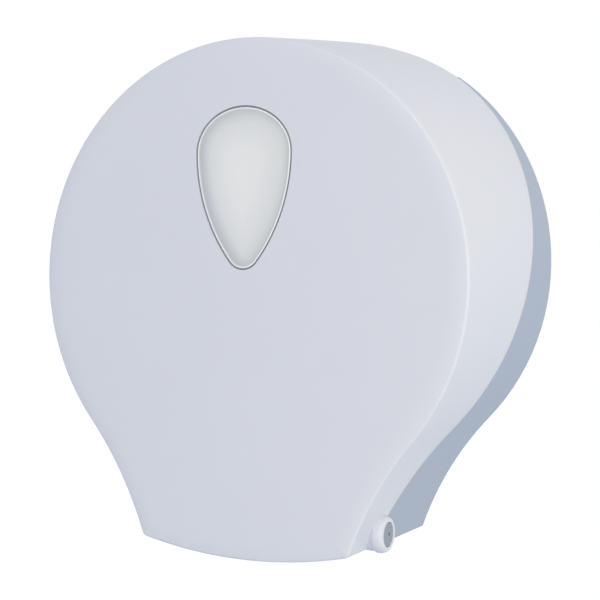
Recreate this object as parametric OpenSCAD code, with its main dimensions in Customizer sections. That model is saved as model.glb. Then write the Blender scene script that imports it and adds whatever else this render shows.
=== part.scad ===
// Jumbo toilet roll dispenser, wall held.
// Millimetres. +Z up, the wall is the plane y = 0 and the front faces -Y.
// The origin is on the wall, on the roll spindle's axis.

/* [Casing outline] */
// Radius of the round casing at the wall
rear_r = 135; // [132:0.5:139]
// Radius of the round casing at the front crease
front_r = 131.6; // [129:0.2:134]
// How far the front circle's centre lies below the spindle axis
front_drop = 8.9; // [7:0.1:11]
// Depth from the wall to the middle of the front edge's rounding
crease_d = 127.6; // [125:0.2:131]
// Angle below the horizontal where the round side turns into the neck, at the wall
rear_neck_angle = 43.3; // [42:0.1:45]
// The same angle at the front
front_neck_angle = 39.7; // [38:0.1:41]
// Radius of the hollow curve of the neck, at the wall
rear_neck_r = 196.6; // [190:0.2:204]
// Radius of the hollow curve of the neck, at the front
front_neck_r = 209.4; // [203:0.2:216]
// How far the foot of the neck lies below the spindle axis, at the wall
rear_foot = 162.4; // [160:0.2:165]
// How far the foot of the neck lies below the spindle axis, at the front
front_foot = 157.5; // [155:0.2:160]
// How far the front's lower edge bows down between its corners
sole_bow = 7.6; // [6:0.2:9]
// Rounding of the front's lower corners
corner_r = 4; // [3:0.5:6]

/* [Casing walls] */
// Wall thickness of the cover and of the base's sides
wall = 2.5; // [2:0.1:3]
// Thickness of the base's back panel
panel_t = 3; // [2.5:0.1:3.5]
// Radius of the cover's front edge
edge_r = 2; // [1.6:0.1:2.6]
// Width of the soft curved band inside the front edge
crown_w = 20; // [16:1:24]
// How far that band falls back from the flat of the front
crown_drop = 0.4; // [0.3:0.1:1.2]
// Depth of the lip that turns back under the front's lower edge
lip_d = 12; // [9:0.5:15]
// Gap between the cover and the base
part_gap = 0.4; // [0.3:0.05:0.6]
// Depth, at the height of the spindle, of the straight line between the parting line's ends
part_d = 40.5; // [39:0.5:43]
// Angle of that line from the vertical
part_angle = 18.6; // [17.6:0.2:19.6]
// How far the parting line bows back towards the wall between its ends
part_bow = 5.8; // [5:0.1:6.6]

/* [Window] */
// Height of the top of the sight window above the spindle axis
window_top = 85.5; // [84:0.5:87]
// Height of its bottom tip, below the axis when negative
window_tip = -4.6; // [-6:0.1:-3.6]
// Height of its widest place
window_mid = 60; // [58:0.5:62]
// Half its greatest width
window_half = 30; // [29:0.1:31]
// Radius of the bottom tip
window_tip_r = 11.2; // [10:0.2:12]
// Width of the groove around the pane
window_gap = 0.7; // [0.4:0.05:0.9]
// How far the pane's middle stands proud of the front
pane_proud = 0.8; // [0.4:0.1:1.4]
// Thickness of the pane's flange
flange_t = 1.5; // [1.2:0.1:2]
// Width of the pane's flange behind the front
flange_w = 3; // [2:0.5:3.4]
// Thickness of the frame that holds the pane
frame_t = 2; // [1.6:0.1:2.6]
// Width of the frame outside the opening
frame_w = 10; // [9:0.5:12]

/* [Hinge] */
// Depth of the hinge axis from the wall
hinge_d = 30; // [29:0.5:32]
// How far the hinge axis lies below the top of the casing
hinge_drop = 10.1; // [9.6:0.1:11]
// Radius of the hinge pins
hinge_pin_r = 2; // [1.5:0.1:2.2]
// Radius of the base's hinge ears
ear_r = 4; // [3.6:0.1:4.2]
// Inner side of each ear, from the middle
ear_x = 21; // [18:0.5:22]
// Thickness of each ear
ear_t = 5.5; // [4:0.5:6]
// Thickness of each hinge lug of the cover
lug_t = 5; // [4:0.5:6]

/* [Lock] */
// Place of the lock axis: depth from the wall
lock_d = 94.5; // [93:0.5:96]
// Place of the lock axis: height above the front's foot
lock_rise = 7.7; // [6.5:0.1:8.5]
// How far the lock's boss stands out of the side of the neck
boss_out = 7.8; // [6:0.1:9]
// Radius of the lock's boss at its face
boss_r = 8.7; // [8.3:0.1:9]
// Radius of the boss at its root on the neck
boss_root_r = 10.6; // [10.2:0.1:10.9]
// Radius of the turning plug
plug_r = 6.5; // [5.8:0.1:6.8]
// Radius of the mouth that the plug's face lies in
mouth_r = 7; // [6.9:0.05:7.4]
// Radius of the key hole
key_r = 1.1; // [0.8:0.1:1.4]
// Distance of the key hole from the lock axis
key_off = 1.7; // [1.5:0.1:2.5]
// Length of the cam's arm from the lock axis
cam_l = 18; // [16:0.5:19]
// Thickness of the cam
cam_t = 2.5; // [2:0.1:3]

/* [Spindle] */
// Radius of the spindle axle
axle_r = 6; // [5:0.2:7]
// How far the axle's front end stops short of the casing's front
axle_room = 15; // [13.6:0.2:18]
// Radius of the axle's flange
axle_flange_r = 26; // [24:0.5:28]
// Outer radius of the roll hub
hub_r = 21; // [19:0.5:22]
// Wall thickness of the roll hub
hub_wall = 2; // [1.6:0.1:2.6]
// Radius of the disc that keeps the roll off the base
hub_disc_r = 38; // [34:1:42]
// Distance of the roll's rear side from the wall
roll_rear_d = 33; // [32.5:0.5:35]

/* [Outlet] */
// Depth of the cross bridge's front face from the wall
bridge_d = 76.5; // [75:0.5:77]
// Height of the bridge
bridge_h = 32; // [28:1:34]
// Height of the bridge's lower edge above the foot at the wall
bridge_rise = 12.4; // [11.4:0.2:14]
// Gap between the tear bar's end and the keeper
tear_gap = 2; // [1:0.2:4]
// Height of the tear bar above the bridge's lower edge
tear_lap = 12; // [10:0.5:14]
// How far the roots of the tear bar's teeth hang below the bridge
tear_drop = 3.5; // [2.5:0.5:5]
// Pitch of the tear bar's teeth
tooth_pitch = 4; // [3:0.5:5]
// Depth of the tear bar's teeth
tooth_d = 3; // [2:0.5:4]
// Thickness of the tear bar
tear_t = 1.2; // [1:0.1:1.6]

/* [Wall screws] */
// Distance between the wall holes, across and up
wall_pitch = 120; // [110:1:130]
// Radius of the wall holes
wall_hole_r = 2.75; // [2.25:0.05:3.25]

/* [Hidden] */

$fn = 64;
// Steps along each half outline: sole, corner, neck and round side
sole_steps = 6;
corner_steps = 4;
neck_steps = 12;
arc_steps = 30;
// Steps of the front edge's rounding and of the crowned band
edge_steps = 3;
crown_steps = 3;
// How far a cutter runs past what it cuts
over = 2;
// Smallest corner rounding that an inset outline keeps
least_corner_r = 0.8;
// How far a piece that is moulded on reaches into the wall that carries it
bite = 1;
// Clearance round a turning shaft, and between parts that only pass each other
run_fit = 0.05;
clear = 0.3;

part_slope = tan(part_angle);
front_d = crease_d + edge_r + crown_drop;
axle_end_d = front_d - axle_room;
inner_front_y = wall - front_d;
rear_sole_bow = sole_bow + front_foot - rear_foot;
// The parting line's ends: where it runs out on the base's back panel, and the sole's lowest place
join_z = (part_d - panel_t) / part_slope;
part_low = -front_foot - sole_bow;
part_mid = (join_z + part_low) / 2;
part_half = (join_z - part_low) / 2;

function lerp(a, b, t) = a + (b - a) * t;

// An outline is [radius, centre height, neck angle, neck radius, foot height, sole bow]
rear_shape = [rear_r, 0, rear_neck_angle, rear_neck_r, -rear_foot, rear_sole_bow];
front_shape = [front_r, -front_drop, front_neck_angle, front_neck_r, -front_foot, sole_bow];

function neck_centre(s) = [0, s[1]] + (s[0] + s[3]) * [cos(s[2]), -sin(s[2])];
function neck_point(s, inset, a) = neck_centre(s) + (s[3] + inset) * [-cos(a), sin(a)];
function neck_at(s, inset, z) = neck_point(s, inset, asin((z - neck_centre(s)[1]) / (s[3] + inset)));
function round_point(s, inset, a) = [0, s[1]] + (s[0] - inset) * [cos(a), sin(a)];

// Height of the casing's round, and half width of its neck, at a depth d from the wall
function roof_z(x, d, inset) = let (t = d / crease_d, r = lerp(rear_r, front_r, t) - inset)
    sqrt(r * r - x * x) - front_drop * t;
function neck_x(z, d, inset) =
    lerp(neck_at(rear_shape, inset, z)[0], neck_at(front_shape, inset, z)[0], d / crease_d);

// The sole is an arc through both foot corners, bowed down between them
function sole_r(s) = let (half = neck_at(s, 0, s[4])[0]) (half * half + s[5] * s[5]) / (2 * s[5]);
function sole_centre(s) = [0, s[4] - s[5] + sole_r(s)];

// Crossing of two circles, on the left of the line from the first centre to the second
function crossing(c1, r1, c2, r2) =
    let (d = norm(c2 - c1), u = (c2 - c1) / d, a = (r1 * r1 - r2 * r2 + d * d) / (2 * d))
    c1 + a * u + sqrt(r1 * r1 - a * a) * [-u[1], u[0]];

function corner_at(inset) = max(corner_r - inset, least_corner_r);
function corner_centre(s, inset) =
    crossing(neck_centre(s), s[3] + inset + corner_at(inset),
        sole_centre(s), sole_r(s) - inset - corner_at(inset));
function angle_of(v) = atan2(v[1], v[0]);

// Right half of the closed outline, from the middle of the sole to the top
function half_outline(s, inset) =
    let (q = corner_centre(s, inset), r = corner_at(inset),
        from_sole = angle_of(q - sole_centre(s)), to_neck = angle_of(neck_centre(s) - q),
        neck_low = asin((q[1] - neck_centre(s)[1]) / norm(q - neck_centre(s))))
    concat(
        [for (i = [0 : sole_steps - 1]) let (a = lerp(-90, from_sole, i / sole_steps))
            sole_centre(s) + (sole_r(s) - inset) * [cos(a), sin(a)]],
        [for (i = [0 : corner_steps - 1]) let (a = lerp(from_sole, to_neck, i / corner_steps))
            q + r * [cos(a), sin(a)]],
        [for (i = [0 : neck_steps - 1]) neck_point(s, inset, lerp(neck_low, s[2], i / neck_steps))],
        [for (i = [0 : arc_steps]) round_point(s, inset, lerp(-s[2], 90, i / arc_steps))]);

function mirrored(half) = [for (i = [len(half) - 2 : -1 : 1]) [-half[i][0], half[i][1]]];
function outline(s, inset) = let (half = half_outline(s, inset)) concat(half, mirrored(half));

// Right side of the base, from the foot up to a height, at first where the parting line runs out
function side_path(s, inset, top = join_z) =
    let (low = asin((s[4] - neck_centre(s)[1]) / (s[3] + inset)), high = asin(top / rear_r))
    concat(
        [for (i = [0 : neck_steps - 1]) neck_point(s, inset, lerp(low, s[2], i / neck_steps))],
        [for (i = [0 : arc_steps]) round_point(s, inset, lerp(-s[2], high, i / arc_steps))]);

// The sides are ruled: each wall point runs straight to its crease point
function on_side(rear, front, y) =
    let (t = -y / crease_d) [lerp(rear[0], front[0], t), y, lerp(rear[1], front[1], t)];
function parting_depth(z) =
    part_d - part_slope * z - part_bow * (1 - pow((z - part_mid) / part_half, 2));
// Where a ruled line meets the parting, which hardly changes along the line: a few rounds settle it
function parting_t(rear, front, shift, t = 0, rounds = 5) = rounds == 0 ? t
    : parting_t(rear, front, shift, (parting_depth(lerp(rear[1], front[1], t)) - shift) / crease_d, rounds - 1);
function parting_y(rear, front, shift) =
    min(-crease_d * parting_t(rear, front, shift), shift - panel_t);
function side_ring(inset, y) =
    let (a = outline(rear_shape, inset), b = outline(front_shape, inset))
    [for (i = [0 : len(a) - 1]) on_side(a[i], b[i], y)];
function parting_ring(inset, shift) =
    let (a = outline(rear_shape, inset), b = outline(front_shape, inset))
    [for (i = [0 : len(a) - 1]) on_side(a[i], b[i], parting_y(a[i], b[i], shift))];
function flat_ring(points, y) = [for (p = points) [p[0], y, p[1]]];

// Fall of the front's surface behind its flat middle, at an inset from the side
function crown_fall(inset) =
    inset >= crown_w ? 0 : crown_drop * pow((crown_w - inset) / (crown_w - edge_r), 2);

function sum(v, i = 0) = i == len(v) ? 0 : v[i] + sum(v, i + 1);
function mean(points) = [for (k = [0 : 2]) sum([for (p = points) p[k]]) / len(points)];

// Skin over rings of as many points each, with both ends closed towards their middles.
// Seen from the last ring's side, each ring runs anticlockwise.
module loft(rings) {
    n = len(rings[0]);
    last = len(rings) - 1;
    points = concat([for (ring = rings) each ring], [mean(rings[0])], [mean(rings[last])]);
    sides = [for (k = [0 : last - 1]) for (i = [0 : n - 1]) let (j = (i + 1) % n)
        each [[k * n + i, (k + 1) * n + j, k * n + j], [k * n + i, (k + 1) * n + i, (k + 1) * n + j]]];
    start = [for (i = [0 : n - 1]) [(last + 1) * n, i, (i + 1) % n]];
    end = [for (i = [0 : n - 1]) [(last + 1) * n + 1, last * n + (i + 1) % n, last * n + i]];
    polyhedron(points = points, faces = concat(sides, start, end));
}

// A flat shape drawn in X and Z, from depth y0 back to y1
module slab_y(y0, y1) translate([0, y1, 0]) rotate([90, 0, 0]) linear_extrude(height = y1 - y0) children();
// A flat shape drawn in Y and Z, from x0 to x1
module slab_x(x0, x1) translate([x0, 0, 0]) rotate([90, 0, 90]) linear_extrude(height = x1 - x0) children();
// A round bar along Y or X through a place in the other two
module bar_y(x, z, r, y0, y1) translate([x, 0, z]) slab_y(y0, y1) circle(r);
module bar_x(y, z, r, x0, x1) translate([0, y, z]) slab_x(x0, x1) circle(r);
module both_sides() for (side = [0, 1]) mirror([side, 0, 0]) children();

/* Base */
hinge_y = -hinge_d;
hinge_z = roof_z(0, hinge_d, 0) - hinge_drop;
lock_y = -lock_d;
lock_z = lock_rise - front_foot;
pad_r = 7;
pad_t = 3;
seat_r = axle_flange_r + 2;
seat_t = 6;
rib_t = 2;
rib_d = 5;
// The cover's rim swings through here, so the panel stops short of it
rim_swing_half = 61;
rim_swing_drop = 14.5;
rim_swing_z = hinge_z - rim_swing_drop;
// The ear's upright below the hinge axis, the length of its root on the panel, and its slope
ear_drop = 31;
ear_root = 34;
ear_slope = 6;
ear_back = 2.5;
// The lip inside the base's edge, which the cover closes over
guide_t = 1.2;
guide_out = 2;
guide_back = 6;
guide_gap = 0.7;
guide_top = 80;
bridge_t = 3;
// The cover rises a little as it opens, so the notch for its boss sits higher than the boss
notch_lift = 0.2;
bridge_low = bridge_rise - rear_foot;
bridge_top = bridge_low + bridge_h;
// Room for the turning cam in the bridge's right-hand end, beside the boss and above it
cam_room_x = 9.6;
cam_room_z = 11.8;

module side_wall() {
    outer_rear = side_path(rear_shape, 0);
    outer_front = side_path(front_shape, 0);
    inner_rear = side_path(rear_shape, wall);
    inner_front = side_path(front_shape, wall);
    loft([for (i = [0 : len(outer_rear) - 1])
        [on_side(inner_rear[i], inner_front[i], 0),
        on_side(inner_rear[i], inner_front[i], parting_y(inner_rear[i], inner_front[i], 0)),
        on_side(outer_rear[i], outer_front[i], parting_y(outer_rear[i], outer_front[i], 0)),
        on_side(outer_rear[i], outer_front[i], 0)]]);
}

// Lip along the inside of the base's edge: it stands past the edge, clear of the cover's wall
module guide_lip() {
    function path(s, inset) = side_path(s, inset, guide_top);
    steps = [[wall + guide_gap + guide_t, guide_back], [wall + guide_gap + guide_t, -guide_out],
        [wall + guide_gap, -guide_out], [wall + guide_gap, part_gap], [wall - bite, part_gap],
        [wall - bite, guide_back]];
    rears = [for (p = steps) path(rear_shape, p[0])];
    fronts = [for (p = steps) path(front_shape, p[0])];
    loft([for (i = [neck_steps / 2 : len(rears[0]) - 1]) [for (k = [0 : len(steps) - 1])
        let (a = rears[k][i], b = fronts[k][i]) on_side(a, b, parting_y(a, b, 0) + steps[k][1])]]);
}

panel_inset = 1.2;
module panel_outline() {
    s = rear_shape;
    foot_angle = asin((s[4] - neck_centre(s)[1]) / (s[3] + panel_inset));
    right = [for (i = [0 : neck_steps + arc_steps])
        i < neck_steps
            ? neck_point(s, panel_inset, lerp(foot_angle, s[2], i / neck_steps))
            : round_point(s, panel_inset, lerp(-s[2], 90, (i - neck_steps) / arc_steps))];
    polygon(concat(right, [for (i = [len(right) - 2 : -1 : 0]) [-right[i][0], right[i][1]]]));
}

// Goose-necked ear: it drops from the hinge axis before it turns back to the panel,
// so that the cover's top can swing round behind the axis
module hinge_ear() {
    back = hinge_y + ear_back;
    front = hinge_y - ear_r;
    turn_z = hinge_z - ear_drop;
    slab_x(ear_x, ear_x + ear_t)
        polygon([[back, hinge_z], [back, turn_z], [-panel_t / 2, turn_z],
            [-panel_t / 2, turn_z - ear_root], [front, turn_z - ear_slope], [front, hinge_z]]);
    bar_x(hinge_y, hinge_z, ear_r, ear_x, ear_x + ear_t);
}

module bridge() {
    function half(z) = neck_x(z, bridge_d - bridge_t, wall) + bite;
    room_x = boss_in - cam_room_x;
    room_z = lock_z + cam_room_z;
    slab_y(-bridge_d, bridge_t - bridge_d)
        polygon([[-half(bridge_top), bridge_top], [half(bridge_top), bridge_top], [half(room_z), room_z],
            [room_x, room_z], [room_x, bridge_low], [-half(bridge_low), bridge_low]]);
}

module base_shell() color("#aab5c4") difference() {
    union() {
        both_sides() side_wall();
        both_sides() guide_lip();
        difference() {
            slab_y(-panel_t, 0) panel_outline();
            translate([-rim_swing_half, -panel_t - over, rim_swing_z])
                cube([2 * rim_swing_half, panel_t + 2 * over, rear_r]);
        }
        bar_y(0, 0, seat_r, -panel_t - seat_t, -panel_t / 2);
        for (x = [-1, 1], z = [-1, 1])
            bar_y(x * wall_pitch / 2, z * wall_pitch / 2, pad_r, -panel_t - pad_t, -panel_t / 2);
        for (x = [-1, 1], z = [-1, 1])
            rotate([0, x * z * 45, 0])
                translate([z * (seat_r - 1), -panel_t - rib_d, -rib_t / 2]) mirror([z < 0 ? 1 : 0, 0, 0])
                    cube([wall_pitch / 2 * sqrt(2) - seat_r - pad_r + 2, rib_d + panel_t / 2, rib_t]);
        both_sides() hinge_ear();
        bridge();
    }
    for (x = [-1, 1], z = [-1, 1])
        bar_y(x * wall_pitch / 2, z * wall_pitch / 2, wall_hole_r, -panel_t - pad_t - over, over);
    both_sides() bar_x(hinge_y, hinge_z, hinge_pin_r + run_fit, ear_x - over, ear_x + ear_t + over);
    bar_x(lock_y, lock_z + notch_lift, boss_root_r + notch_lift + clear, boss_in - over, lock_face);
    for (p = axle_screw_places)
        bar_y(p[0], p[1], axle_screw_r + run_fit, seat_y - over, seat_y + axle_screw_l + hole_end);
    for (p = keeper_places)
        bar_y(p[0], p[1], keeper_screw_r + run_fit, -bridge_d - over, bridge_t - bridge_d + over);
    for (p = tear_places)
        bar_y(p[0], p[1], tear_screw_r + run_fit, -bridge_d - over, bridge_t - bridge_d + over);
}

/* Cover */
// The boss runs from inside the neck's side to its face, with a web at its inner end that keeps the plug in
lock_face = neck_x(lock_z, lock_d, 0) + boss_out;
boss_l = 16.1;
boss_in = lock_face - boss_l;
land_t = 2;
plug_neck_r = 4.5;
mouth_t = 1.5;
root_x = lock_face - boss_out;
fairing_r = boss_root_r + 5.2;
fairing_x = lock_face - 5;
fairing_end_r = boss_root_r - 1;
foot_bead = 1;
frame_screw_r = 1.25;
frame_screw_bite = 1.2;
frame_boss_r = 3;
lug_r = ear_r + 0.5;
// A screw hole is this much deeper than its screw, and a screw's slot this wide
hole_end = 0.5;
slot_w = 0.8;

function fillet_ring(k, inset, r, y) =
    let (a = 90 * k / edge_steps) flat_ring(outline(front_shape, inset + r * (1 - cos(a))), y - r * sin(a));
function crown_ring(k, inset, y) =
    let (d = lerp(edge_r, crown_w, k / crown_steps))
    flat_ring(outline(front_shape, inset + d), y + crown_fall(d));

module cover_outside() loft(concat(
    [parting_ring(0, -part_gap)],
    [for (k = [0 : edge_steps]) fillet_ring(k, 0, edge_r, -crease_d)],
    [for (k = [1 : crown_steps]) crown_ring(k, 0, -front_d)]));

module cover_inside() loft(concat(
    [parting_ring(wall, 4 * over)],
    [side_ring(wall, -crease_d + wall),
    flat_ring(outline(front_shape, wall + edge_r / 2), -crease_d + wall - edge_r)],
    [for (k = [1 : crown_steps]) crown_ring(k, 0, inner_front_y)]));

// Opens the neck's underside behind the lip
module outlet_cut() {
    heights = [-over * 4, 0, 7, 14];
    function side(s) = [for (h = heights) neck_at(s, wall + foot_bead, s[4] + h)];
    function loop(s) = concat(side(s), [for (i = [len(heights) - 1 : -1 : 0]) [-side(s)[i][0], side(s)[i][1]]]);
    a = loop(rear_shape);
    b = loop(front_shape);
    loft([for (y = [over * 2, lip_d - front_d]) [for (i = [0 : len(a) - 1]) on_side(a[i], b[i], y)]]);
}

// Teardrop: half an ellipse above its widest place, and side arcs that run into a round tip below
side_r = let (h = window_mid - window_tip - window_tip_r)
    (h * h + window_half * window_half - window_tip_r * window_tip_r) / (2 * (window_half - window_tip_r));
side_x = side_r - window_half;
top_h = window_top - window_mid;
tip_z = window_tip + window_tip_r;
drop_steps = 14;
function drop_half(inset) =
    let (low = atan2(tip_z - window_mid, side_x))
    concat(
        [for (i = [0 : drop_steps - 1]) let (a = lerp(-90, low, i / drop_steps))
            [0, tip_z] + (window_tip_r - inset) * [cos(a), sin(a)]],
        [for (i = [0 : drop_steps - 1]) let (a = lerp(low, 0, i / drop_steps))
            [-side_x, window_mid] + (side_r - inset) * [cos(a), sin(a)]],
        [for (i = [0 : drop_steps]) let (a = 90 * i / drop_steps,
            out = [top_h * cos(a), window_half * sin(a)])
            [window_half * cos(a), window_mid + top_h * sin(a)] - inset * out / norm(out)]);
function drop(inset) = let (half = drop_half(inset)) concat(half, mirrored(half));

// Places of the frame's screws, outside the opening
screw_out = 6.5;
frame_places = [[0, window_top + screw_out], [window_half + screw_out, window_mid],
    [-window_half - screw_out, window_mid], [0, window_tip - screw_out]];

module front_half_space()
    translate([0, -part_d - part_gap, 0]) rotate([-part_angle, 0, 0])
        translate([-rear_r * 2, -rear_r * 2, -rear_r * 2]) cube([rear_r * 4, rear_r * 2, rear_r * 4]);

module hinge_lug() {
    x = ear_x + ear_t + part_gap;
    top = roof_z(x + lug_t, hinge_d, wall) + bite;
    bar_x(hinge_y, hinge_z, lug_r, x, x + lug_t);
    slab_x(x, x + lug_t) translate([hinge_y - lug_r, hinge_z]) square([2 * lug_r, top - hinge_z]);
}

module lock_boss() {
    bar_x(lock_y, lock_z, boss_root_r, boss_in, root_x);
    translate([root_x, lock_y, lock_z]) rotate([0, 90, 0])
        cylinder(h = boss_out, r1 = boss_root_r, r2 = boss_r);
    intersection() {
        translate([boss_in, lock_y, lock_z]) rotate([0, 90, 0])
            cylinder(h = fairing_x - boss_in, r1 = fairing_r, r2 = fairing_end_r);
        front_half_space();
        translate([boss_in + wall, -front_d, -front_foot - corner_r]) cube([boss_l, front_d, 2 * fairing_r]);
    }
}

module front_cover() color("#dfe2e8") difference() {
    union() {
        difference() {
            cover_outside();
            cover_inside();
            outlet_cut();
        }
        both_sides() hinge_lug();
        lock_boss();
        for (p = frame_places)
            bar_y(p[0], p[1], frame_boss_r, inner_front_y - bite, inner_front_y + flange_t);
    }
    slab_y(-front_d - over, inner_front_y + over) polygon(drop(0));
    both_sides() bar_x(hinge_y, hinge_z, hinge_pin_r + run_fit + 0.01, ear_x, ear_x + ear_t + lug_t + over);
    bar_x(lock_y, lock_z, plug_r + run_fit, boss_in + land_t, lock_face + over);
    bar_x(lock_y, lock_z, plug_neck_r + run_fit, boss_in - over, lock_face);
    bar_x(lock_y, lock_z, mouth_r, lock_face - mouth_t, lock_face + over);
    for (p = frame_places)
        bar_y(p[0], p[1], frame_screw_r + run_fit, inner_front_y - frame_screw_bite - hole_end / 2,
            inner_front_y + flange_t + over);
}

/* Window */
// The pane is pocketed behind and pillowed in front, over a band as wide as its tip's rounding allows
pane_edge = 0.6;
pane_wall = 2;
pane_pillow = window_tip_r - 2 * window_gap;
pane_steps = 4;
frame_back = inner_front_y + flange_t + frame_t;
frame_lap = 2;
module window_pane() color("#eef0f0") loft(concat(
    [flat_ring(drop(window_gap + pane_wall), inner_front_y),
    flat_ring(drop(window_gap + pane_wall), inner_front_y + flange_t),
    flat_ring(drop(-flange_w), inner_front_y + flange_t),
    flat_ring(drop(-flange_w), inner_front_y),
    flat_ring(drop(window_gap), inner_front_y)],
    [for (k = [0 : pane_steps]) let (a = 90 * k / pane_steps)
        flat_ring(drop(window_gap + pane_pillow * (1 - cos(a))),
            -front_d + pane_edge - (pane_edge + pane_proud) * sin(a))]));

module window_frame() color("#d5d9df") difference() {
    slab_y(inner_front_y + flange_t, frame_back) polygon(drop(-frame_w));
    slab_y(inner_front_y - over, frame_back + over) polygon(drop(frame_lap));
    for (p = frame_places)
        bar_y(p[0], p[1], frame_screw_r + run_fit, inner_front_y - over, frame_back + over);
}

// A pan-head screw along Y: its tip, its seat under the head, and the head's radius and height
module screw_y(p, r, tip, seat, head_r, head_t) {
    side = seat > tip ? 1 : -1;
    bar_y(p[0], p[1], r, min(tip, seat), max(tip, seat));
    bar_y(p[0], p[1], head_r, min(seat, seat + side * head_t), max(seat, seat + side * head_t));
}

module window_screws() color("silver") for (p = frame_places)
    screw_y(p, frame_screw_r, inner_front_y - frame_screw_bite, frame_back, 2.6, 1.5);

/* Hinge pins */
pin_head_r = 3.2;
pin_head_t = 1.5;
pin_end = 0.5;
module hinge_pin() color("silver") {
    bar_x(hinge_y, hinge_z, hinge_pin_r, ear_x - pin_head_t, ear_x + ear_t + part_gap + lug_t + pin_end);
    bar_x(hinge_y, hinge_z, pin_head_r, ear_x - pin_head_t, ear_x);
}
module hinge_pin_left() mirror([1, 0, 0]) hinge_pin();
module hinge_pin_right() hinge_pin();

/* Lock */
washer_t = 1;
washer_x = boss_in - clear - washer_t;
cam_x = washer_x - cam_t;
// Half the width of the plug's square end, which turns the washer and the cam
drive_half = 2.8;
cam_hub_r = 6.5;
cam_half = 3;
plug_face = lock_face - 0.4;
key_depth = 8;
cam_screw_r = 1.5;
cam_screw_l = 7.5;
cam_head_r = 4.4;
cam_head_t = 1.8;
module drive_hole(x, t) translate([x - over, lock_y - drive_half - run_fit, lock_z - drive_half - run_fit])
    cube([t + 2 * over, 2 * (drive_half + run_fit), 2 * (drive_half + run_fit)]);
module lock_plug() color("#8e94a2") difference() {
    union() {
        bar_x(lock_y, lock_z, plug_r, boss_in + land_t + clear, plug_face);
        bar_x(lock_y, lock_z, plug_neck_r, boss_in - clear, boss_in + land_t + 2 * clear);
        translate([cam_x, lock_y - drive_half, lock_z - drive_half])
            cube([boss_in + bite - cam_x, 2 * drive_half, 2 * drive_half]);
    }
    bar_x(lock_y + key_off, lock_z, key_r, plug_face - key_depth, plug_face + over);
    bar_x(lock_y, lock_z, cam_screw_r + run_fit, cam_x - over, cam_x + cam_screw_l + hole_end);
}
module lock_washer() color("silver") difference() {
    bar_x(lock_y, lock_z, cam_hub_r, washer_x, washer_x + washer_t);
    drive_hole(washer_x, washer_t);
}
// The cam's arm points to the wall while the lock is open
module lock_cam() color("gray") difference() {
    union() {
        bar_x(lock_y, lock_z, cam_hub_r, cam_x, cam_x + cam_t);
        translate([cam_x, lock_y, lock_z - cam_half]) cube([cam_t, cam_l - cam_half, 2 * cam_half]);
        bar_x(lock_y + cam_l - cam_half, lock_z, cam_half, cam_x, cam_x + cam_t);
    }
    drive_hole(cam_x, cam_t);
}
module cam_screw() color("silver") difference() {
    union() {
        bar_x(lock_y, lock_z, cam_screw_r, cam_x - cam_head_t, cam_x + cam_screw_l);
        bar_x(lock_y, lock_z, cam_head_r, cam_x - cam_head_t, cam_x);
    }
    translate([cam_x - cam_head_t - over, lock_y - cam_head_r - over, lock_z - slot_w / 2])
        cube([over + cam_head_t / 2, 2 * (cam_head_r + over), slot_w]);
}

/* Keeper: screwed to the bridge, its hook hangs in front of the turned cam */
keeper_t = 2;
keeper_w = 10;
hook_w = 6.7;
hook_x = cam_x + cam_t - hook_w;
keeper_x = hook_x - 7.5;
keeper_top = bridge_top - 5;
keeper_low = lock_z + 9.8;
hook_low = keeper_low + 1;
hook_y = lock_y - cam_half - 3.5;
keeper_screw_r = 1.5;
keeper_places = [for (z = [keeper_top - 5.5, keeper_low + 4]) [keeper_x + 3.5, z]];
module keeper() color("silver") difference() {
    union() {
        translate([keeper_x, -bridge_d - keeper_t, keeper_low])
            cube([keeper_w, keeper_t, keeper_top - keeper_low]);
        translate([hook_x, hook_y, keeper_top - keeper_t]) cube([hook_w, -bridge_d - hook_y, keeper_t]);
        translate([hook_x, hook_y, hook_low]) cube([hook_w, keeper_t, keeper_top - hook_low]);
    }
    for (p = keeper_places)
        bar_y(p[0], p[1], keeper_screw_r + run_fit, -bridge_d - keeper_t - over, -bridge_d + over);
}
module keeper_screws() color("silver") for (p = keeper_places)
    screw_y(p, keeper_screw_r, bridge_t - bridge_d, -bridge_d - keeper_t, 2.6, 1.6);

/* Spindle */
seat_y = -panel_t - seat_t;
axle_flange_t = 3;
collar_r = 10;
collar_y = 4 - roll_rear_d;
axle_screw_ring = 19;
axle_screw_r = 2;
axle_screw_l = 6;
cap_screw_r = 1.6;
cap_screw_l = 11;
function ring_places(n, r) = [for (i = [0 : n - 1]) r * [cos(45 + 360 * i / n), sin(45 + 360 * i / n)]];
axle_screw_places = ring_places(4, axle_screw_ring);
module spindle_axle() color("silver") difference() {
    union() {
        bar_y(0, 0, axle_flange_r, seat_y - axle_flange_t, seat_y);
        bar_y(0, 0, collar_r, collar_y, seat_y);
        bar_y(0, 0, axle_r, -axle_end_d, seat_y);
    }
    for (p = axle_screw_places)
        bar_y(p[0], p[1], axle_screw_r + run_fit, seat_y - axle_flange_t - over, seat_y + over);
    bar_y(0, 0, cap_screw_r + run_fit, -axle_end_d - over, -axle_end_d + cap_screw_l + 2 * hole_end);
}
module axle_screws() color("silver") for (p = axle_screw_places)
    screw_y(p, axle_screw_r, seat_y + axle_screw_l, seat_y - axle_flange_t, 3.6, 2.2);
brake_t = 1.5;
brake_r = 14;
brake_y = collar_y - brake_t;
module brake_washer() color("#5b5148") difference() {
    bar_y(0, 0, brake_r, brake_y, collar_y);
    bar_y(0, 0, axle_r + run_fit, brake_y - over, collar_y + over);
}
hub_back = brake_y - clear;
disc_t = 2.5;
spring_t = 0.8;
spring_h = 2;
cap_y = -axle_end_d;
hub_front = cap_y + spring_h + 2 * clear;
cap_r = 12.5;
cap_t = 3;
web_count = 6;
web_t = 1.6;
boss_wall = 2.5;
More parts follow.
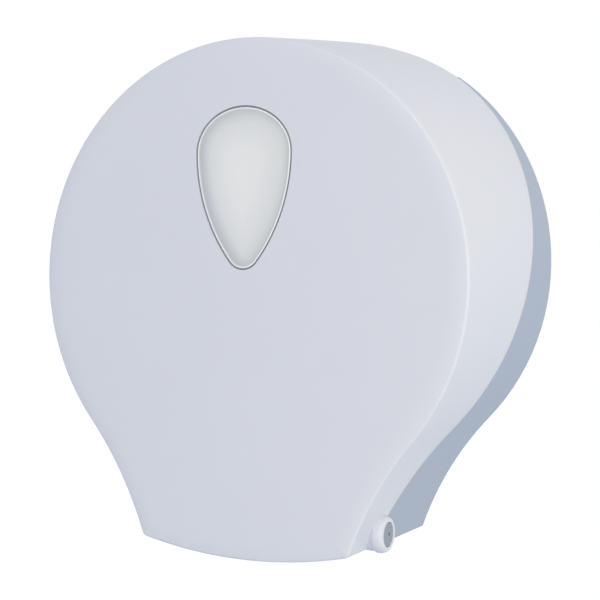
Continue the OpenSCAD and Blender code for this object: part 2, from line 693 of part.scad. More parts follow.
module roll_hub() color("#9fa9b8") difference() {
    union() {
        difference() {
            bar_y(0, 0, hub_r, hub_front, hub_back);
            bar_y(0, 0, hub_r - hub_wall, hub_front - over, hub_back - disc_t);
        }
        bar_y(0, 0, hub_disc_r, hub_back - disc_t, hub_back);
        bar_y(0, 0, axle_r + boss_wall, hub_front, hub_back);
        for (i = [0 : web_count - 1]) rotate([0, 360 * i / web_count, 0])
            translate([axle_r + bite, hub_front + hub_wall, -web_t / 2])
                cube([hub_r - axle_r - 2 * bite, hub_back - hub_front - hub_wall - bite, web_t]);
    }
    bar_y(0, 0, axle_r + run_fit, hub_front - over, hub_back + over);
}
module disc_spring() color("silver") translate([0, cap_y + spring_h + clear, 0]) rotate([90, 0, 0])
    rotate_extrude() polygon([[axle_r + 2 * run_fit, spring_h - spring_t], [axle_r + 2 * run_fit, spring_h],
        [cap_r - bite, spring_t], [cap_r - bite, 0]]);
module hub_cap() color("#9fa9b8") difference() {
    bar_y(0, 0, cap_r, cap_y - cap_t, cap_y);
    bar_y(0, 0, cap_screw_r + run_fit, cap_y - cap_t - over, cap_y + over);
}
cap_head_r = 4;
cap_head_t = 2;
module cap_screw() color("silver") difference() {
    screw_y([0, 0], cap_screw_r, cap_y + cap_screw_l, cap_y - cap_t, cap_head_r, cap_head_t);
    translate([-cap_head_r - over, cap_y - cap_t - cap_head_t - over, -slot_w / 2])
        cube([2 * (cap_head_r + over), over + cap_head_t / 2, slot_w]);
}

/* Tear bar */
tear_half = keeper_x - tear_gap;
tear_top = bridge_low + tear_lap;
tear_root = bridge_low - tear_drop;
tear_screw_drop = 5;
tear_screw_pitch = 30;
tooth_count = round(2 * tear_half / tooth_pitch);
tear_screw_r = 1.6;
tear_places = [for (i = [-1 : 1]) [i * tear_screw_pitch, tear_top - tear_screw_drop]];
module tear_bar() color("silver") difference() {
    slab_y(-bridge_d - tear_t, -bridge_d) polygon(concat(
        [[tear_half, tear_top], [-tear_half, tear_top]],
        [for (i = [0 : tooth_count - 1]) let (x = -tear_half + 2 * tear_half * i / tooth_count)
            each [[x, tear_root], [x + tear_half / tooth_count, tear_root - tooth_d]]],
        [[tear_half, tear_root]]));
    for (p = tear_places)
        bar_y(p[0], p[1], tear_screw_r + run_fit, -bridge_d - tear_t - over, -bridge_d + over);
}
module tear_bar_screws() color("silver") for (p = tear_places)
    screw_y(p, tear_screw_r, bridge_t - bridge_d, -bridge_d - tear_t, 2.8, 1.4);

base_shell();
front_cover();
window_pane();
window_frame();
window_screws();
hinge_pin_left();
hinge_pin_right();
lock_plug();
lock_washer();
lock_cam();
cam_screw();
keeper();
keeper_screws();
spindle_axle();
axle_screws();
brake_washer();
roll_hub();
disc_spring();
hub_cap();
cap_screw();
tear_bar();
tear_bar_screws();
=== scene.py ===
import math

import bmesh
import bpy
from mathutils import Matrix, Quaternion, Vector


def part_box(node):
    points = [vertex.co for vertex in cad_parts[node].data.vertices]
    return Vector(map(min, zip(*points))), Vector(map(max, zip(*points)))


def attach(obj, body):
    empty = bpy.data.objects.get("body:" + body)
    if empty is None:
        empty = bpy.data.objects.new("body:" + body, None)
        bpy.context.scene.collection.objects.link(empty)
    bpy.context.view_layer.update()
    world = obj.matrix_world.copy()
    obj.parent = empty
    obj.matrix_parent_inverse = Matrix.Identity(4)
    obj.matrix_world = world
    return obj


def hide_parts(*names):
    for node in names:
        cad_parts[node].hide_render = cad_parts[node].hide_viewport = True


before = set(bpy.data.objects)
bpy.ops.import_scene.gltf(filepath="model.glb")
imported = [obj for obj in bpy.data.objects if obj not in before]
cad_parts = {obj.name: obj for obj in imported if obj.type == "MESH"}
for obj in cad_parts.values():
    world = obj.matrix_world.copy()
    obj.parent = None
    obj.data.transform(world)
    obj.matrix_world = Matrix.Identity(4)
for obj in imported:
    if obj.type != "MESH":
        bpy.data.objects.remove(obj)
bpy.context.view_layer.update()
scene = bpy.context.scene
scene.view_settings.view_transform = "Standard"

# Camera. It stands to the right of the dispenser, level with the middle of the roll, and
# looks back at it from 0.845 m, a little downwards.
camera_place = Vector((0.384319, -0.818461, 0.007196))
camera_aim = Vector((0.002705, -0.065, -0.022783))
camera_roll = math.radians(0.449)
camera_data = bpy.data.cameras.new("camera")
camera_data.lens = 86.115
camera_data.sensor_width = 36
camera = bpy.data.objects.new("camera", camera_data)
scene.collection.objects.link(camera)
look = (camera_aim - camera_place).to_track_quat("-Z", "Y") @ Quaternion((0, 0, 1), camera_roll)
camera.matrix_world = Matrix.Translation(camera_place) @ look.to_matrix().to_4x4()
scene.camera = camera


# Studio. Even light comes from all round, with three wide lamps at the dispenser's height: in
# front of it, to its right, and between the two. What shows behind it, or in it, is white paper.
def linear(hex_colour):
    channels = [int(hex_colour[i:i + 2], 16) / 255 for i in (1, 3, 5)]
    return [c / 12.92 if c <= 0.04045 else ((c + 0.055) / 1.055) ** 2.4 for c in channels] + [1]


def add(tree, kind, settings=None, links=None):
    node = tree.nodes.new(kind)
    for name, value in (settings or {}).items():
        if isinstance(name, int) or name in node.inputs:
            node.inputs[name].default_value = value
        else:
            setattr(node, name, value)
    for name, socket in (links or {}).items():
        tree.links.new(socket, node.inputs[name])
    return node


def seen_as_paper(tree):
    # 1 where it is looked at, straight, mirrored or through the pane, and 0 where it gives light
    path = add(tree, "ShaderNodeLightPath")
    plain = add(tree, "ShaderNodeMath", {"operation": "MAXIMUM"},
                {0: path.outputs["Is Camera Ray"], 1: path.outputs["Is Glossy Ray"]})
    return add(tree, "ShaderNodeMath", {"operation": "MAXIMUM"},
               {0: plain.outputs[0], 1: path.outputs["Is Transmission Ray"]}).outputs[0]


world = bpy.data.worlds.new("studio")
world.use_nodes = True
scene.world = world
tree = world.node_tree
tree.nodes.clear()
room_light = add(tree, "ShaderNodeBackground", {"Color": linear("#eff6ff"), "Strength": 0.705})
white_paper = add(tree, "ShaderNodeBackground", {"Color": (1, 1, 1, 1), "Strength": 1.0})
world_mix = add(tree, "ShaderNodeMixShader", None,
                {0: seen_as_paper(tree), 1: room_light.outputs[0], 2: white_paper.outputs[0]})
add(tree, "ShaderNodeOutputWorld", None, {"Surface": world_mix.outputs[0]})

lamp_aim = Vector((0, -0.07, -0.02))
for name, place, width, power, colour in (("lamp_front", (0.3, -2.2, 0.1), 1.4, 5.3, "#ffe8cf"),
                                          ("lamp_between", (1.5, -1.5, 0.1), 1.0, 12.2, "#fff2d9"),
                                          ("lamp_right", (1.9, -0.5, 0.1), 0.8, 6.5, "#fff1ca")):
    lamp_data = bpy.data.lights.new(name, "AREA")
    lamp_data.color = linear(colour)[:3]
    lamp_data.shape = "DISK"
    lamp_data.size = width
    lamp_data.energy = power
    lamp = bpy.data.objects.new(name, lamp_data)
    scene.collection.objects.link(lamp)
    lamp.location = place
    lamp.rotation_euler = (lamp_aim - lamp.location).to_track_quat("-Z", "Y").to_euler()

floor_drop, floor_half = 0.55, 6
bm = bmesh.new()
bmesh.ops.create_grid(bm, x_segments=1, y_segments=1, size=floor_half)
bmesh.ops.translate(bm, vec=(0, 0, -floor_drop), verts=bm.verts)
floor_mesh = bpy.data.meshes.new("floor")
bm.to_mesh(floor_mesh)
bm.free()
floor = bpy.data.objects.new("floor", floor_mesh)
scene.collection.objects.link(floor)

# The floor's paper is mostly plain white to the camera, and a little of it shows the shadow
paper = bpy.data.materials.new("white_paper")
paper.use_nodes = True
tree = paper.node_tree
tree.nodes.clear()
lit = add(tree, "ShaderNodeBsdfDiffuse", {"Color": linear("#c0cee0")})
plain = add(tree, "ShaderNodeEmission", {"Strength": 1.15})
share = add(tree, "ShaderNodeMath", {"operation": "MULTIPLY", 1: 0.85}, {0: seen_as_paper(tree)})
paper_mix = add(tree, "ShaderNodeMixShader", None,
                {0: share.outputs[0], 1: lit.outputs[0], 2: plain.outputs[0]})
add(tree, "ShaderNodeOutputMaterial", None, {"Surface": paper_mix.outputs[0]})
floor_mesh.materials.append(paper)


# Base. The moulded back plate with its side walls, goose-necked hinge ears, cross bridge, ribs
# and screw pads is one shot of grey-blue ABS, screwed to the wall.
def blank(name):
    # An empty material, and the piece's own metres, which its patterns are laid out in
    material = bpy.data.materials.new(name)
    material.use_nodes = True
    tree = material.node_tree
    tree.nodes.clear()
    return material, tree, add(tree, "ShaderNodeTexCoord").outputs["Object"]


def shades(tree, colour, spread, factor):
    # The colour a little deeper and a little lighter, mixed by a pattern
    deep = [c * (1 - spread) for c in linear(colour)[:3]] + [1]
    light = [min(c * (1 + spread), 1) for c in linear(colour)[:3]] + [1]
    mix = add(tree, "ShaderNodeMix", {"data_type": "RGBA", 6: deep, 7: light}, {0: factor})
    return mix.outputs[2]


def complete(tree, settings, colour, factor, roughness, height_mm):
    # The shader itself: one pattern breaks up both the gloss and, by some microns, the surface
    gloss_spread, bump_strength = 0.04, 0.6
    gloss_range = {"To Min": roughness - gloss_spread, "To Max": roughness + gloss_spread}
    sheen = add(tree, "ShaderNodeMapRange", gloss_range, {"Value": factor})
    bump = add(tree, "ShaderNodeBump", {"Strength": bump_strength, "Distance": height_mm / 1000},
               {"Height": factor})
    shader = add(tree, "ShaderNodeBsdfPrincipled", settings,
                 {"Base Color": colour, "Roughness": sheen.outputs[0], "Normal": bump.outputs[0]})
    add(tree, "ShaderNodeOutputMaterial", None, {"Surface": shader.outputs[0]})


# Grained and frosted plastics mirror less of the room than polished ones do
satin_level = 0.15


def moulded(name, colour, roughness):
    # ABS moulded in a fine spark-eroded tool: a satin skin whose grain, drawn coarser than it is,
    # only breaks up the gloss, and a colour that drifts very slightly with the plastic's flow
    flow_mm, grain_mm = 70, 0.5
    material, tree, place = blank(name)
    flow = add(tree, "ShaderNodeTexNoise", {"Scale": 1000 / flow_mm, "Detail": 2.0},
               {"Vector": place})
    grain = add(tree, "ShaderNodeTexNoise", {"Scale": 1000 / grain_mm, "Detail": 3.0},
                {"Vector": place})
    complete(tree, {"IOR": 1.5, "Specular IOR Level": satin_level},
             shades(tree, colour, 0.015, flow.outputs["Fac"]), grain.outputs["Fac"], roughness,
             height_mm=0.004)
    return material


def dress(node, material):
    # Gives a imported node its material, and smooths its faces except where they meet at a crease
    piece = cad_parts[node]
    piece.data.materials.clear()
    piece.data.materials.append(material)
    piece.data.shade_smooth()
    weld = piece.modifiers.new("weld", "WELD")
    weld.merge_threshold = 1e-6
    creases = piece.modifiers.new("creases", "EDGE_SPLIT")
    creases.split_angle = math.radians(32)
    piece.modifiers.new("normals", "WEIGHTED_NORMAL")


dress("base_shell", moulded("base_abs", "#acb7ca", 0.42))


# Spindle. A turned steel axle is screwed to the base by its flange. The hub that carries the
# roll's core turns on it between a fibre brake washer and a disc spring under a screwed cap.
def brushed(name, colour, roughness, stretch_mm, height_mm):
    # Steel whose fine marks, all one way, draw its highlights out: noise stretched along the marks
    material, tree, place = blank(name)
    drawn = add(tree, "ShaderNodeMapping", {"Scale": [1000 / length for length in stretch_mm]},
                {"Vector": place})
    marks = add(tree, "ShaderNodeTexNoise", {"Scale": 1.0, "Detail": 4.0},
                {"Vector": drawn.outputs[0]})
    complete(tree, {"Metallic": 1.0}, shades(tree, colour, 0.06, marks.outputs["Fac"]),
             marks.outputs["Fac"], roughness, height_mm)
    return material


def plated(name, colour, roughness):
    # Bright zinc plate: a faint sparkle of crystals, drawn coarser than they are, and soft clouds
    cloud_mm, crystal_mm = 6, 0.4
    material, tree, place = blank(name)
    cloud = add(tree, "ShaderNodeTexNoise", {"Scale": 1000 / cloud_mm, "Detail": 2.0},
                {"Vector": place})
    crystals = add(tree, "ShaderNodeTexVoronoi", {"Scale": 1000 / crystal_mm}, {"Vector": place})
    complete(tree, {"Metallic": 1.0}, shades(tree, colour, 0.05, cloud.outputs["Fac"]),
             crystals.outputs["Distance"], roughness, height_mm=0.002)
    return material


def pressed_fibre(name, colour):
    # Brown vulcanised fibre: flecks about a millimetre across in a dull, slightly rough sheet
    fleck_mm = 1.2
    material, tree, place = blank(name)
    flecks = add(tree, "ShaderNodeTexNoise",
                 {"Scale": 1000 / fleck_mm, "Detail": 6.0, "Roughness": 0.7}, {"Vector": place})
    complete(tree, {}, shades(tree, colour, 0.25, flecks.outputs["Fac"]), flecks.outputs["Fac"],
             roughness=0.8, height_mm=0.03)
    return material


zinc_steel = plated("zinc_steel", "#c2c6cb", 0.3)
hub_plastic = moulded("hub_plastic", "#9fa9b8", 0.45)
dress("spindle_axle", brushed("turned_steel", "#b4b6b9", 0.26, (6, 0.25, 6), 0.003))
dress("axle_screws", zinc_steel)
dress("brake_washer", pressed_fibre("brake_fibre", "#6b6156"))
dress("roll_hub", hub_plastic)
dress("disc_spring", brushed("spring_steel", "#8f9299", 0.3, (1.5, 1.5, 1.5), 0.002))
dress("hub_cap", hub_plastic)
dress("cap_screw", zinc_steel)


# Outlet. The paper is torn on a toothed strip of stainless steel under the bridge. Beside it the
# zinc-plated keeper hangs from two screws, ready to catch the lock's cam.
dress("tear_bar", brushed("stainless_strip", "#c6c8ca", 0.24, (12, 0.12, 0.12), 0.002))
for node in ("tear_bar_screws", "keeper", "keeper_screws"):
    dress(node, zinc_steel)


# Cover. One drafted shell of pale ABS, 2.5 mm thick, that swings up on the hinge: its sides run
# from the wall's outline to the front's, with full shoulders and a bead along the rim. The front
# is crowned, a lip closes it below, and the lock's boss and the hinge's lugs are moulded on.
crease_depth, edge_radius, crown_width, front_depth = 0.1276, 0.0017, 0.010, 0.130
wall_thickness, corner_radius, least_corner, lip_depth = 0.0025, 0.004, 0.0008, 0.012

# Each outline: the round's radius and centre height, the neck's angle and radius, and the sole's
# height and bow
rear_shape = (0.135, 0.0, 43.3, 0.1966, -0.1624, 0.0027)
front_shape = (0.1316, -0.0089, 39.7, 0.2094, -0.1575, 0.0076)
foot_height, sole_bow = front_shape[4:]
sole_steps, corner_steps, neck_steps, round_steps = 12, 6, 24, 60


def crossing(centre_a, radius_a, centre_b, radius_b):
    # The crossing of two circles on the left of the line from the first centre to the second
    apart = (centre_b - centre_a).length
    along = (centre_b - centre_a) / apart
    reach = (radius_a ** 2 - radius_b ** 2 + apart ** 2) / (2 * apart)
    aside = math.sqrt(radius_a ** 2 - reach ** 2)
    return centre_a + reach * along + aside * Vector((-along.y, along.x))


def verts_in(geometry):
    # The vertices among all that an operator gives back
    return [v for v in geometry if isinstance(v, bmesh.types.BMVert)]


def turn(bm, end, centre, angle, steps, depth):
    # Carries an open line's end round a centre in the plane of that depth
    made = bmesh.ops.spin(bm, geom=[end], cent=(centre.x, -depth, centre.y), axis=(0, -1, 0),
                          dvec=(0, 0, 0), angle=angle, steps=steps)
    return verts_in(made["geom_last"])[0]


def edges_of(verts):
    # Each edge once, and in the same order on every run
    return list(dict.fromkeys(e for v in verts for e in v.link_edges))


def beside(vert):
    return [e.other_vert(vert) for e in vert.link_edges]


def closed_ring(bm, before):
    # Mirrors the half outline drawn since then, and walks right round it from its lowest point
    half = [v for v in bm.verts if v not in before]
    bmesh.ops.mirror(bm, geom=half + edges_of(half), axis="X", merge_dist=1e-6)
    ring = [min((v for v in bm.verts if v not in before), key=lambda v: v.co.z)]
    following = next(v for v in beside(ring[0]) if v.co.x > 0)
    while following != ring[0]:
        ring.append(following)
        following = next(v for v in beside(ring[-1]) if v != ring[-2])
    return ring


def casing_ring(bm, shape, inset, depth):
    # The casing's closed outline at an inset: sole, corner, hollow neck and round side, mirrored
    radius, centre_z, neck_angle, neck_radius, foot, bow = shape
    neck_angle = math.radians(neck_angle)
    round_centre = Vector((0, centre_z))
    to_neck = Vector((math.cos(neck_angle), -math.sin(neck_angle)))
    neck = round_centre + (radius + neck_radius) * to_neck
    foot_half = neck.x - math.sqrt(neck_radius ** 2 - (foot - neck.y) ** 2)
    sole_radius = (foot_half ** 2 + bow ** 2) / (2 * bow)
    sole = Vector((0, foot - bow + sole_radius))
    corner_r = max(corner_radius - inset, least_corner)
    corner = crossing(neck, neck_radius + inset + corner_r, sole, sole_radius - inset - corner_r)
    out_of_sole = math.atan2(corner.y - sole.y, corner.x - sole.x)
    into_neck = math.atan2(neck.y - corner.y, neck.x - corner.x)
    neck_low = math.asin((corner.y - neck.y) / (corner - neck).length)
    before = set(bm.verts)
    end = bm.verts.new((0, -depth, sole.y - sole_radius + inset))
    end = turn(bm, end, sole, out_of_sole + math.pi / 2, sole_steps, depth)
    end = turn(bm, end, corner, into_neck - out_of_sole, corner_steps, depth)
    end = turn(bm, end, neck, -(neck_angle - neck_low), neck_steps, depth)
    turn(bm, end, round_centre, neck_angle + math.pi / 2, round_steps, depth)
    return closed_ring(bm, before)


# The parting line: straight between its ends, but for a bow back towards the wall
parting_straight, parting_slope, parting_bow = 0.0405, math.tan(math.radians(18.6)), 0.0058
part_gap, panel_thickness, settling_rounds = 0.0004, 0.003, 5
parting_top = (parting_straight - panel_thickness) / parting_slope
parting_low = foot_height - sole_bow
bead_height, bead_width, bead_fade = 0.0003, 0.0012, 0.008


def rim_ring(bm, guides, forward, raised):
    # The outline along the rim: each point slides from the wall's outline towards the front's
    middle, reach = (parting_top + parting_low) / 2, (parting_top - parting_low) / 2
    ring = casing_ring(bm, rear_shape, 0, 0)
    for rear, (front, rear_raised, front_raised) in zip(ring, zip(*guides)):
        depth = 0
        for _ in range(settling_rounds):
            height = rear.co.lerp(front.co, depth / crease_depth).z
            bow = parting_bow * (1 - ((height - middle) / reach) ** 2)
            depth = max(parting_straight - parting_slope * height - bow, panel_thickness) + part_gap
        share = raised * min((depth - panel_thickness - part_gap) / bead_fade, 1)
        along = (depth + forward) / crease_depth
        raised_co = rear_raised.co.lerp(front_raised.co, along)
        rear.co = rear.co.lerp(front.co, along).lerp(raised_co, share)
    return ring


# How far the shoulders swell. Each of the swell's two curves peaks at 1 / 2.6, and is brought to 1
roof_swell, peak_to_one, roof_steps = 0.0025, 2.6, 6


def roof_ring(bm, guides, share):
    # A ring on the way from the rim to the crease: the two shoulders beside the roof's top swell
    ring = rim_ring(bm, guides, bead_width, 0)
    for point, front, raised in zip(ring, guides[0], guides[2]):
        outward = (raised.co - front.co).normalized()
        swell = roof_swell * peak_to_one * math.sqrt(share) * (1 - share)
        swell = swell * peak_to_one * max(outward.z, 0) ** 2 * abs(outward.x)
        point.co = point.co.lerp(front.co, share) + swell * outward
    return ring


# The window's teardrop: half an ellipse above its widest place, and arcs into a round tip below
window_top, window_middle, window_half = 0.0855, 0.060, 0.030
window_tip, tip_radius, drop_steps = -0.0046, 0.0112, 20


def drop_ring(bm, inset, depth):
    # The window's closed outline at an inset: round tip, long side and half ellipse, mirrored
    low = window_middle - window_tip - tip_radius
    side_radius = (low ** 2 + window_half ** 2 - tip_radius ** 2) / (2 * (window_half - tip_radius))
    side = Vector((window_half - side_radius, window_middle))
    tip = Vector((0, window_tip + tip_radius))
    leave_tip = math.atan2(tip.y - side.y, -side.x)
    before = set(bm.verts)
    end = bm.verts.new((0, -depth, window_tip + inset))
    end = turn(bm, end, tip, leave_tip + math.pi / 2, drop_steps, depth)
    end = turn(bm, end, side, -leave_tip, drop_steps, depth)
    rise = window_top - window_middle
    for k in range(1, drop_steps + 1):
        a = math.pi / 2 * k / drop_steps
        out = Vector((rise * math.cos(a), 0, window_half * math.sin(a))).normalized()
        place = Vector((window_half * math.cos(a), -depth, window_middle + rise * math.sin(a)))
        new = bm.verts.new(place - inset * out)
        bm.edges.new((end, new))
        end = new
    return closed_ring(bm, before)


def made_object(bm, name):
    # Closes a bmesh's seams, turns its faces outwards and makes it a smooth object
    bmesh.ops.remove_doubles(bm, verts=bm.verts, dist=1e-7)
    bmesh.ops.recalc_face_normals(bm, faces=bm.faces)
    mesh = bpy.data.meshes.new(name)
    bm.to_mesh(mesh)
    bm.free()
    mesh.shade_smooth()
    piece = bpy.data.objects.new(name, mesh)
    scene.collection.objects.link(piece)
    return piece


def edges_between(verts):
    within = set(verts)
    return [e for e in edges_of(verts) if e.verts[0] in within and e.verts[1] in within]


def bridge_all(bm, rings):
    for near, far in zip(rings, rings[1:]):
        bmesh.ops.bridge_loops(bm, edges=edges_between(near) + edges_between(far))


# The guides only lead the rings behind the crease, and are deleted once those are drawn
bm = bmesh.new()
guides = [casing_ring(bm, front_shape, 0, crease_depth),
          casing_ring(bm, rear_shape, -bead_height, 0),
          casing_ring(bm, front_shape, -bead_height, crease_depth)]
rings = [rim_ring(bm, guides, 0, 1), rim_ring(bm, guides, bead_width / 2, 1)]
rings += [roof_ring(bm, guides, step / roof_steps) for step in range(roof_steps)]
rings.append(casing_ring(bm, front_shape, 0, crease_depth))
bmesh.ops.delete(bm, geom=[v for guide in guides for v in guide], context="VERTS")
rings_to_crease = len(rings)
edge_steps, last_turn = 6, math.radians(80)
for k in range(1, edge_steps + 1):
    a = last_turn * k / edge_steps
    depth = crease_depth + edge_radius * math.sin(a)
    rings.append(casing_ring(bm, front_shape, edge_radius * (1 - math.cos(a)), depth))
crown_start = edge_radius * (1 - math.cos(last_turn))
crown_fall = front_depth - crease_depth - edge_radius * math.sin(last_turn)
crown_steps = 8
for k in range(1, crown_steps + 1):
    inset = crown_start + (crown_width - crown_start) * k / crown_steps
    depth = front_depth - crown_fall * (1 - k / crown_steps) ** 2
    rings.append(casing_ring(bm, front_shape, inset, depth))
bridge_all(bm, rings)
opening = drop_ring(bm, 0, front_depth)
bmesh.ops.triangle_fill(bm, use_beauty=True, use_dissolve=False,
                        edges=edges_between(rings[-1]) + edges_between(opening))
bmesh.ops.recalc_face_normals(bm, faces=bm.faces)

# The sole is open behind the lip: it is cut across there, and its faces further back are deleted.
# It takes in one step of each corner.
sole_span = range(-sole_steps - 1, sole_steps + 2)
sole_points = [ring[k] for ring in rings[:rings_to_crease] for k in sole_span]
in_sole = set(sole_points)
sole = [f for f in bm.faces if in_sole.issuperset(f.verts)]
around = sole_points + list(dict.fromkeys(e for f in sole for e in f.edges)) + sole
lip_y = lip_depth - front_depth
cut = bmesh.ops.bisect_plane(bm, geom=around, dist=1e-7, plane_co=(0, lip_y, 0),
                             plane_no=(0, 1, 0))
in_sole.update(verts_in(cut["geom_cut"]))
behind = [f for f in bm.faces if in_sole.issuperset(f.verts) and f.calc_center_median().y > lip_y]
bmesh.ops.delete(bm, geom=behind, context="FACES")

cover = made_object(bm, "cover_shell")
cover_abs = moulded("cover_abs", "#dfe1ea", 0.38)
cover.data.materials.append(cover_abs)

# The wall goes inwards, and the sharp edges that it makes are rounded
shell = cover.modifiers.new("wall", "SOLIDIFY")
shell.thickness = wall_thickness
shell.offset = -1
shell.use_even_offset = True
rim = cover.modifiers.new("rim", "BEVEL")
rim.width = 0.0005
rim.segments = 3
rim.limit_method = "ANGLE"
rim.angle_limit = math.radians(50)


def turned(bm, start, axis, half_section, steps=64):
    # A round solid from its half section: pairs of how far along its axis, and how far out
    out = Vector((0, 0, 1))
    line = [bm.verts.new(start + along * axis + reach * out) for along, reach in half_section]
    edges = [bm.edges.new(pair) for pair in zip(line, line[1:])]
    bmesh.ops.spin(bm, geom=line + edges, cent=start, axis=axis, angle=math.tau, steps=steps,
                   use_merge=True)


# The lock's boss stands out of the neck's lower corner. It is widest at a soft shoulder near the
# neck, and narrows to a rounded edge at its face.
plug_recess, boss_length = 0.0004, 0.0161
boss_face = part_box("lock_plug")[1].x + plug_recess
boss_start = Vector((boss_face - boss_length, -0.0945, -0.1498))
additions = bmesh.new()
turned(additions, boss_start, Vector((1, 0, 0)),
       [(0, 0), (0, 0.0094), (0.0090, 0.0098), (0.0096, 0.0099), (0.0101, 0.0102),
        (0.0106, 0.01045), (0.0112, 0.0105), (0.0128, 0.0104), (0.0142, 0.0101), (0.0151, 0.0097),
        (0.0157, 0.0092), (0.0160, 0.0089), (boss_length, 0.0086), (boss_length, 0)])

# A lug hangs from the roof on each side for the hinge's pins
hinge_y, hinge_z = -0.030, 0.122008
lug_inner, lug_outer, lug_radius, lug_rise = 0.0269, 0.0319, 0.0045, 0.0056
for side in (1, -1):
    before = set(additions.verts)
    start = additions.verts.new((side * lug_inner, hinge_y - lug_radius, hinge_z + lug_rise))
    low = additions.verts.new((side * lug_inner, hinge_y - lug_radius, hinge_z))
    additions.edges.new((start, low))
    made = bmesh.ops.spin(additions, geom=[low], cent=(side * lug_inner, hinge_y, hinge_z),
                          axis=(1, 0, 0), angle=math.pi, steps=16)
    end = additions.verts.new((side * lug_inner, hinge_y + lug_radius, hinge_z + lug_rise))
    additions.edges.new((verts_in(made["geom_last"])[0], end))
    additions.edges.new((end, start))
    outline = [v for v in additions.verts if v not in before]
    face = bmesh.ops.contextual_create(additions, geom=edges_between(outline))["faces"]
    wall = bmesh.ops.extrude_face_region(additions, geom=face, use_keep_orig=True)["geom"]
    for v in verts_in(wall):
        v.co.x = side * lug_outer

# Four bosses behind the front take the window frame's screws
frame_screw_places = ((0, 0.092), (0.0365, 0.060), (-0.0365, 0.060), (0, -0.0111))
for x, z in frame_screw_places:
    turned(additions, Vector((x, -0.1285, z)), Vector((0, 1, 0)),
           [(0, 0), (0, 0.003), (0.0025, 0.003), (0.0025, 0)], steps=24)

# The plug's bore with its narrow neck and its mouth, the pins' bores, and the frame screws' holes
plug_bore, pin_bore, screw_hole = 0.00655, 0.00206, 0.0013
bores = bmesh.new()
turned(bores, boss_start, Vector((1, 0, 0)),
       [(-0.001, 0), (-0.001, 0.00455), (0.002, 0.00455), (0.002, plug_bore), (0.0110, plug_bore),
        (0.0110, 0.0069), (0.0159, 0.0069), (0.0163, 0.0072), (0.0163, 0)])
for side in (1, -1):
    turned(bores, Vector((side * 0.0215, hinge_y, hinge_z)), Vector((side, 0, 0)),
           [(0, 0), (0, pin_bore), (0.012, pin_bore), (0.012, 0)], steps=24)
for x, z in frame_screw_places:
    turned(bores, Vector((x, -0.1288, z)), Vector((0, 1, 0)),
           [(0, 0), (0, screw_hole), (0.004, screw_hole), (0.004, 0)], steps=24)

additions_tool = made_object(additions, "cover_additions")
bores_tool = made_object(bores, "cover_bores")
for tool, operation in ((additions_tool, "UNION"), (bores_tool, "DIFFERENCE")):
    cut = cover.modifiers.new(tool.name, "BOOLEAN")
    cut.operation, cut.solver, cut.object = operation, "EXACT", tool
finished = cover.evaluated_get(bpy.context.evaluated_depsgraph_get())
settled = bpy.data.meshes.new_from_object(finished)
cover.modifiers.clear()
cover.data = settled


def by_place(part):
    # Sorts vertices, edges or faces by where their vertices are
    verts = [part] if isinstance(part, bmesh.types.BMVert) else part.verts
    return sorted(tuple(v.co) for v in verts)


# The cuts leave slivers a few hundredths of a millimetre wide, which are merged away. What stays
# of a sliver depends on its order in the mesh, which is sorted so that each run gives the same.
sliver_width = 2e-5
bm = bmesh.new()
bm.from_mesh(settled)
for parts in (bm.verts, bm.edges, bm.faces):
    for index, part in enumerate(sorted(parts, key=by_place)):
        part.index = index
    parts.sort()
bmesh.ops.remove_doubles(bm, verts=bm.verts, dist=sliver_width)
bmesh.ops.dissolve_degenerate(bm, edges=bm.edges, dist=1e-6)
bm.to_mesh(settled)
bm.free()
for tool in (additions_tool, bores_tool):
    bpy.data.objects.remove(tool)
cover.data.shade_smooth()
cover.data.set_sharp_from_angle(angle=math.radians(35))
cover.modifiers.new("normals", "WEIGHTED_NORMAL").keep_sharp = True
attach(cover, "cover")
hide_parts("front_cover")


# Window. A pane of frosted plastic, with a flange and a pocket at the back, and in front a shallow
# groove, a raised rim and a middle that swells a little. It lies in the cover's opening from
# behind, where a frame of the cover's ABS holds it with four zinc-plated screws.
def frosted_with_painted_light(name, deep, light):
    # Frosted plastic whose colour is painted light and shade: a value on each vertex mixes it from
    # the deep colour to the light one. This gives painted shade near the edge and in the groove,
    # and a painted highlight on the rim. Its skin is like ground glass, drawn coarser than it is.
    frost_mm = 0.4
    material, tree, place = blank(name)
    painted_light_and_shade = add(tree, "ShaderNodeAttribute", {"attribute_name": "painted_light_and_shade"}).outputs["Fac"]
    frost = add(tree, "ShaderNodeTexNoise", {"Scale": 1000 / frost_mm, "Detail": 3.0},
                {"Vector": place})
    colour = add(tree, "ShaderNodeMix", {"data_type": "RGBA", 6: linear(deep), 7: linear(light)},
                 {0: painted_light_and_shade})
    complete(tree, {"IOR": 1.49, "Specular IOR Level": satin_level}, colour.outputs[2],
             frost.outputs["Fac"], roughness=0.4, height_mm=0.003)
    return material
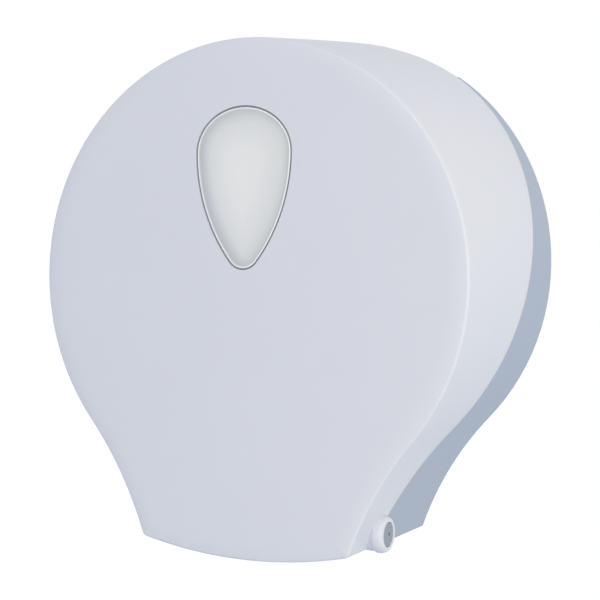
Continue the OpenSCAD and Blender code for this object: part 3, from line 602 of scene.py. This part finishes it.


# Across the pane, from its back round the flange to the middle: inset, depth and painted light,
# from 0, painted shade in the groove, to 1, a painted highlight on the rim
pane_section = [(0.0027, 0.1275, 0.8), (0.0027, 0.1260, 0.8), (-0.0030, 0.12602, 0.8),
                (-0.0030, 0.12748, 0.8), (0.00005, 0.1275, 0.0), (0.00005, 0.12898, 0.0),
                (0.0009, 0.1290, 0.0), (0.00095, 0.1296, 0.3), (0.0011, 0.12985, 1.0),
                (0.0014, 0.1300, 1.0), (0.0017, 0.12995, 0.9), (0.0021, 0.12972, 0.5),
                (0.0026, 0.1297, 0.48), (0.0032, 0.12985, 0.5), (0.0045, 0.1301, 0.56),
                (0.0060, 0.1304, 0.63), (0.0080, 0.13065, 0.69), (0.0100, 0.13076, 0.75)]

# The pane's middle is closed by two more rings, shrunk about its centre, whose painted light
# rises a little towards it
pane_centre = Vector((0, 0, 0.050))
bm = bmesh.new()
# A value on each vertex for the colour's painted light and shade
painted_light_and_shade = bm.verts.layers.float.new("painted_light_and_shade")
rings = []
for inset, depth, share in pane_section:
    rings.append(drop_ring(bm, inset, depth))
    for v in rings[-1]:
        v[painted_light_and_shade] = share
innermost = pane_section[-1][0]
for scale, depth, share in ((0.5, 0.13078, 0.86), (0.1, 0.1308, 0.88)):
    rings.append(drop_ring(bm, innermost, depth))
    bmesh.ops.scale(bm, vec=(scale, 1, scale), space=Matrix.Translation(-pane_centre),
                    verts=rings[-1])
    for v in rings[-1]:
        v[painted_light_and_shade] = share
bridge_all(bm, rings)
for ring in (rings[0], rings[-1]):
    bmesh.ops.triangle_fill(bm, use_beauty=True, use_dissolve=False, edges=edges_between(ring))
pane = made_object(bm, "frosted_pane")
# The pane's colour runs from a painted shade, #949ca4, to painted light, #f7f7f7
pane.data.materials.append(frosted_with_painted_light("frosted_window", "#949ca4", "#f7f7f7"))
pane.data.set_sharp_from_angle(angle=math.radians(50))
pane.modifiers.new("normals", "WEIGHTED_NORMAL").keep_sharp = True
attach(pane, "cover")
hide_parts("window_pane")
dress("window_frame", cover_abs)
dress("window_screws", zinc_steel)


# Hinge. Two zinc-plated steel pins are pushed outwards through the base's ears, with their heads
# on the inside, and the cover's lugs turn on their outer ends.
for node in ("hinge_pin_left", "hinge_pin_right"):
    dress(node, zinc_steel)


# Lock. A grey plastic plug with a key hole off its centre turns in the boss. Its square end
# carries a zinc-plated steel washer and cam, held by a slotted screw.
dress("lock_plug", moulded("plug_plastic", "#98a0b0", 0.45))
for node in ("lock_washer", "lock_cam", "cam_screw"):
    dress(node, zinc_steel)
